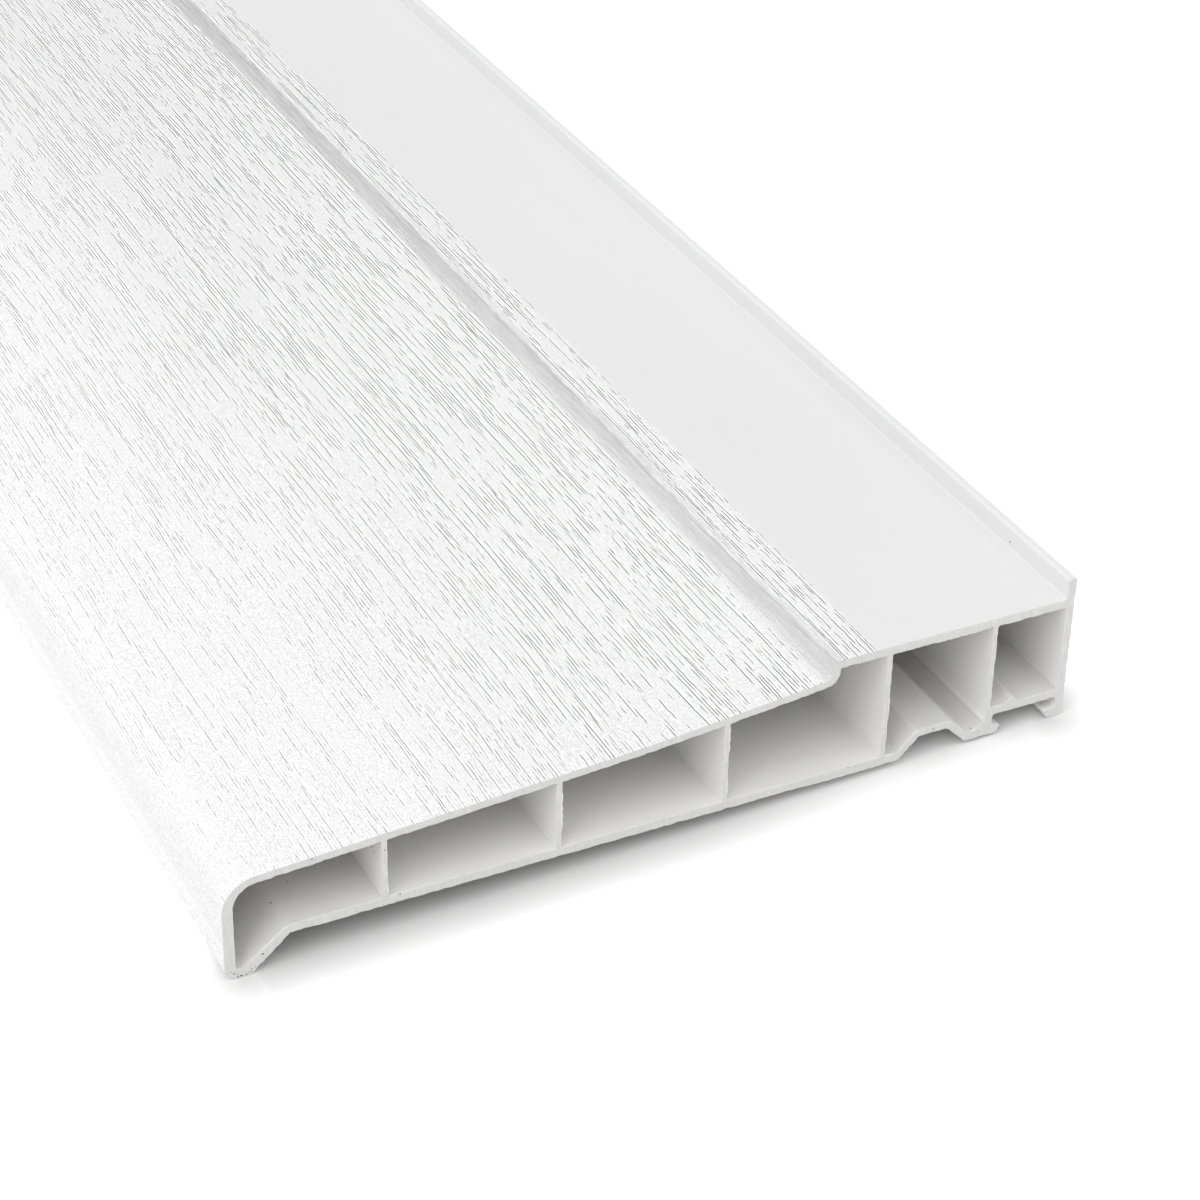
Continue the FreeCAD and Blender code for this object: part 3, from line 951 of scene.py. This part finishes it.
bounds_between = (track_s[1:] + track_s[:-1]) / 2
track_groups = np.array_split(np.arange(len(track_s)), STRIPS)
film_pieces = []
for number, group in enumerate(track_groups):
    low = 0.0 if number == 0 else bounds_between[group[0] - 1]
    high = FILM_WIDTH if number == STRIPS - 1 else bounds_between[group[-1]]
    offsets = np.array([-0.5, 0, 0.5])
    centre = track_s[group][None] + wander(row_x[:, None], track_s[group][None]) + own_shift[:, group]
    width = track_width[group] * (1 + 0.3 * smooth_step(track_s[group], 60, 150))
    width = np.tile(width, (len(row_x), 1))
    across = (centre[..., None] + offsets * width[..., None]).reshape(len(row_x), -1)
    cut = pores[:, group]
    none = np.zeros_like(cut)
    depth = np.stack([none, np.minimum(cut, MOST_CUT) * PORE_DEPTH, none], -1).reshape(len(row_x), -1)
    # Pore value: the cut share at a pore's bottom drives its painted shade, and minus half of it at the shoulders
    # drives their painted highlight.
    pore_value = np.stack([-0.5 * cut, cut, -0.5 * cut], -1).reshape(len(row_x), -1)
    edges = [edge + wander(row_x, edge) for edge in (low, high)]
    top_s = np.concatenate([edges[0][:, None], across, edges[1][:, None]], 1)
    depth = np.pad(depth, ((0, 0), (1, 1)))
    pore_value = np.pad(pore_value, ((0, 0), (1, 1)))
    inner = path_s[(path_s > low + 4) & (path_s < high - 4)][::2]
    under = np.concatenate([[low], inner, [high]])[::-1]
    under_s = np.tile(under, (len(row_x), 1))
    under_s[:, 0], under_s[:, -1] = edges[1], edges[0]
    ring_s = np.concatenate([top_s, under_s], 1)
    ring_depth = np.concatenate([depth, np.full(under_s.shape, FILM_UNDER)], 1)
    ring_pore = np.concatenate([pore_value, np.zeros(under_s.shape)], 1)
    columns = ring_s.shape[1]
    strip_points = laid(on_film(ring_s, ring_depth), row_x[:, None]).reshape(-1, 3)
    sides = strip_faces(len(row_x), columns, closed=True)
    far_end = np.arange(columns)[None]
    near_end = (len(row_x) - 1) * columns + np.arange(columns)[None, ::-1]
    finish_number = np.concatenate([np.zeros(len(sides), int), [1, 1]])
    piece = make_piece(
        f"grain_film_{number + 1}", strip_points, [sides, far_end, near_end], [film, sawn], finish_number
    )
    piece.data.polygons.foreach_set("use_smooth", np.ones(len(piece.data.polygons), bool))
    piece.data.set_sharp_from_angle(angle=math.radians(75))
    # The shade attribute: the band on the riser is partly its own streaked film and partly painted shade, darker near
    # its top and towards the far end.
    far_share = smooth_step(-row_x[:, None], -600, -150)
    band_edge = 0.1 * cloud[:, None] + 0.14 * edge_noise[:, None]
    riser_share = smooth_step(ring_s, BAND_FROM - 0.15 + band_edge, BAND_FROM + 0.15 + band_edge)
    riser_share *= smooth_step(BAND_TO - ring_s, -0.15 - band_edge, 0.15 - band_edge)
    riser_share = riser_share * (0.58 + 0.27 * far_share)
    riser_share = riser_share * (1 + 0.5 * smooth_step(ring_s, BAND_TO - 2.2, BAND_TO - 0.8))
    # Painted shade on the nose face and on the arcs just above and below the band, which catch more light.
    nose_share = 0.14 * (1 - smooth_step(ring_s, 8, 22))
    brow_share = 0.5 * (ring_s > BAND_TO) * (1 - smooth_step(ring_s, BAND_TO + 0.9, BAND_TO + 2.8))
    foot_share = (ring_s < BAND_FROM) * smooth_step(ring_s, BAND_FROM - 2.6, BAND_FROM - 0.7)
    foot_share = foot_share * (0.25 + 0.3 * far_share)
    # The slope gets greyer towards the back and towards the far end.
    slope_share = (0.15 + 0.16 * far_share) * smooth_step(ring_s, 20, 130)
    shade_value = np.maximum.reduce([riser_share, nose_share, brow_share, foot_share, slope_share])
    for name, values in (("pore", ring_pore), ("shade", shade_value), ("rim", FILM_WIDTH - ring_s)):
        attribute = piece.data.attributes.new(name, "FLOAT", "POINT")
        attribute.data.foreach_set("value", values.astype(np.float32).ravel())
    film_pieces.append(piece)

# %% [markdown]
# ## Floor, light and camera
#
# The floor is pale and catches the board's own shadow. To the camera it reads as white paper with a painted shadow
# under the board, fading past its ends and sides and darker at its feet. It and the world read as white to the camera
# alone, so the light on the object stays at a plain level.

# %% Floor
FLOOR_HALF = 6.0
PAINTED_CONTACT_SHADOWS = [(0.624, -0.108, 0.0), (0.624, 0.108, 0.0)]
SHADOW_ACROSS = [(-0.117, -0.104, 0.0, 1.0), (0.0, 0.07, 1.0, 0.82), (0.104, 0.124, 1.0, 0.0)]


def soft_between(tree, value, low, high, to_low, to_high):
    """A value moved from one range to another along an even curve."""
    values = {"Value": value, "From Min": low, "From Max": high, "To Min": to_low, "To Max": to_high}
    kind = "ShaderNodeMapRange"
    return add_node(tree, kind, values, interpolation_type="SMOOTHSTEP").outputs["Result"]


floor_points = np.array([[-1, -1, 0], [1, -1, 0], [1, 1, 0], [-1, 1, 0]]) * FLOOR_HALF
floor_mesh = bpy.data.meshes.new("floor")
floor_mesh.from_pydata(floor_points.tolist(), [], [(0, 1, 2, 3)])
floor = bpy.data.objects.new("floor", floor_mesh)
bpy.context.scene.collection.objects.link(floor)
paper = bpy.data.materials.new("pale floor")
paper.use_nodes = True
tree = paper.node_tree
tree.nodes.clear()
rays = add_node(tree, "ShaderNodeLightPath")
seen = rays.outputs["Is Camera Ray"]
for kind in ("Is Glossy Ray", "Is Transmission Ray"):
    seen = add_node(tree, "ShaderNodeMath", {0: seen, 1: rays.outputs[kind]}, operation="MAXIMUM").outputs[0]
place = add_node(tree, "ShaderNodeTexCoord").outputs["Object"]
part = add_node(tree, "ShaderNodeSeparateXYZ", {0: place}).outputs
beside = add_node(tree, "ShaderNodeMath", {0: part[0]}, operation="ABSOLUTE").outputs[0]
# Painted shadow: to the camera the floor darkens under the board and past its ends, with darker spots at its feet.
under = soft_between(tree, beside, 0.614, 0.661, 1.0, 0.0)
for low, high, to_low, to_high in SHADOW_ACROSS:
    across = soft_between(tree, part[1], low, high, to_low, to_high)
    under = add_node(tree, "ShaderNodeMath", {0: under, 1: across}, operation="MULTIPLY").outputs[0]
flat_place = add_node(tree, "ShaderNodeCombineXYZ", {0: beside, 1: part[1]}).outputs[0]
for contact in PAINTED_CONTACT_SHADOWS:
    away = add_node(tree, "ShaderNodeVectorMath", {0: flat_place, 1: contact}, operation="DISTANCE")
    spot = between(tree, away.outputs["Value"], 0.0, 0.0325, 0.86, 0.0)
    under = add_node(tree, "ShaderNodeMath", {0: under, 1: spot}, operation="MAXIMUM").outputs[0]
paper_seen = blend_colours(tree, under, (1.7, 1.7, 1.7, 1), (0.46, 0.46, 0.46, 1))
colour = blend_colours(tree, seen, (0.80, 0.80, 0.80, 1), paper_seen)
diffuse = add_node(tree, "ShaderNodeBsdfDiffuse", {"Color": colour})
output = add_node(tree, "ShaderNodeOutputMaterial")
tree.links.new(diffuse.outputs[0], output.inputs[0])
floor_mesh.materials.append(paper)

# %% World and lamps
AMBIENT = 0.63
LAMP_WIDTH = 50.0
world = bpy.data.worlds.new("pale room")
bpy.context.scene.world = world
world.use_nodes = True
tree = world.node_tree
background = tree.nodes["Background"]
rays = add_node(tree, "ShaderNodeLightPath")
strength = between(tree, rays.outputs["Is Camera Ray"], 0.0, 1.0, AMBIENT, 1.0)
background.inputs["Color"].default_value = (1, 1, 1, 1)
tree.links.new(strength, background.inputs["Strength"])


def soft_lamp(name, azimuth, elevation, power):
    """A broad lamp far off: its azimuth is counted from +X towards +Y, all angles in degrees."""
    data = bpy.data.lights.new(name, "SUN")
    data.energy = power
    data.angle = math.radians(LAMP_WIDTH)
    lamp = bpy.data.objects.new(name, data)
    lamp.rotation_euler = (math.radians(90 - elevation), 0, math.radians(azimuth + 90))
    bpy.context.scene.collection.objects.link(lamp)


soft_lamp("softbox on the left", -70, 35, 0.87)
soft_lamp("softbox over the camera", -35, 60, 0.745)
soft_lamp("softbox on the right", 40, 50, 0.485)

# %% Camera
CAMERA_PLACE = (1.149132, -0.268215, 0.466508)
CAMERA_TURN = (56.0251, 0.9108, 63.7986)
camera_data = bpy.data.cameras.new("camera")
camera_data.lens = 93.4476
camera_data.sensor_width = 36.0
camera_data.clip_start = 0.01
camera = bpy.data.objects.new("camera", camera_data)
camera.location = CAMERA_PLACE
camera.rotation_euler = [math.radians(angle) for angle in CAMERA_TURN]
bpy.context.scene.collection.objects.link(camera)
bpy.context.scene.camera = camera
bpy.context.scene.view_settings.view_transform = "Standard"
